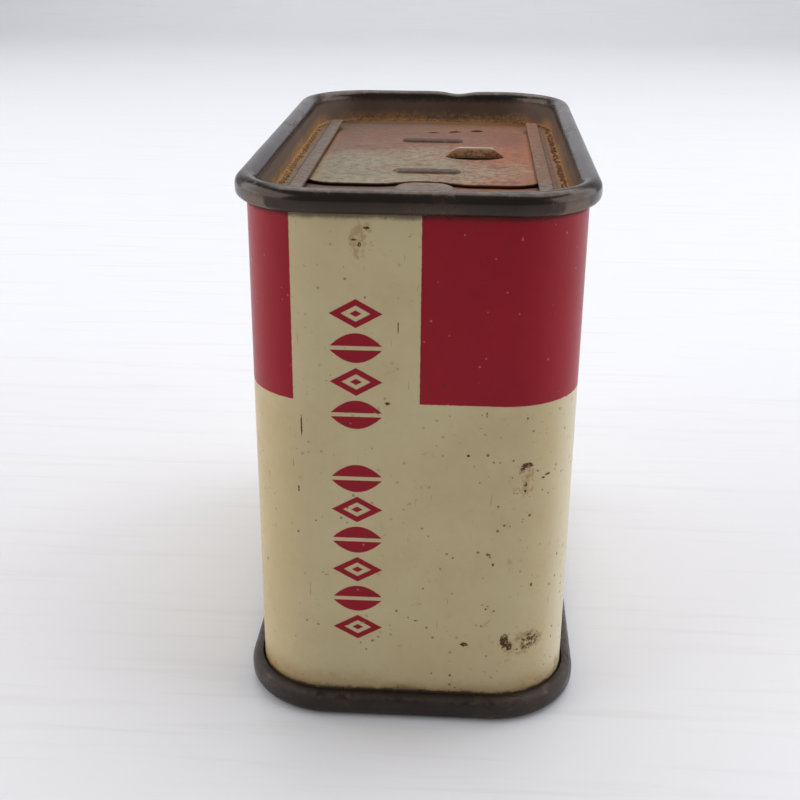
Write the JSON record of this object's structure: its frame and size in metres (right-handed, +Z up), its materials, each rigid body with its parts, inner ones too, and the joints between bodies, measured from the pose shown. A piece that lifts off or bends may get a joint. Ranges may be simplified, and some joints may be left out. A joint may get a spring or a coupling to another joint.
{
  "type": "spice tin",
  "caption": "Small rectangular tin with rounded corners, seamed ends and a recessed top, where a notched plate slides under rails to open sifting and pouring holes.",
  "frame": {"origin": "centre of the footprint, on the surface that the tin stands on", "axes": "+X to the right across the narrow face, +Y from the narrow face with the cream stripe to the back, along the tin's long side and the slide's travel, +Z up"},
  "size_m": [0.0406, 0.0732, 0.0643],
  "materials": {
    "printed_tinplate": "aged satin lacquer over a cream and red print, scuffed and specked",
    "seam_tinplate": "dark oxidised tinplate, satin, with worn bright glints",
    "rail_tinplate": "dull tarnished tinplate",
    "slide_tinplate": "rust-stained tinplate, satin",
    "solder": "dull lead-grey solder",
    "seam_compound": "dull brown dried sealing paste"
  },
  "bodies": {
    "tin": {"body_shell": "printed_tinplate", "side_seam_solder": "solder", "top_end": "seam_tinplate", "top_seam_compound": "seam_compound", "bottom_end": "seam_tinplate", "bottom_seam_compound": "seam_compound", "left_rail": "rail_tinplate", "right_rail": "rail_tinplate"},
    "slide": {"slide_plate": "slide_tinplate"}
  },
  "joints": [
    {"name": "slide_travel", "type": "slide", "parent": "tin", "child": "slide", "axis": [0, 1, 0], "range_m": [0, 0.011]}
  ]
}
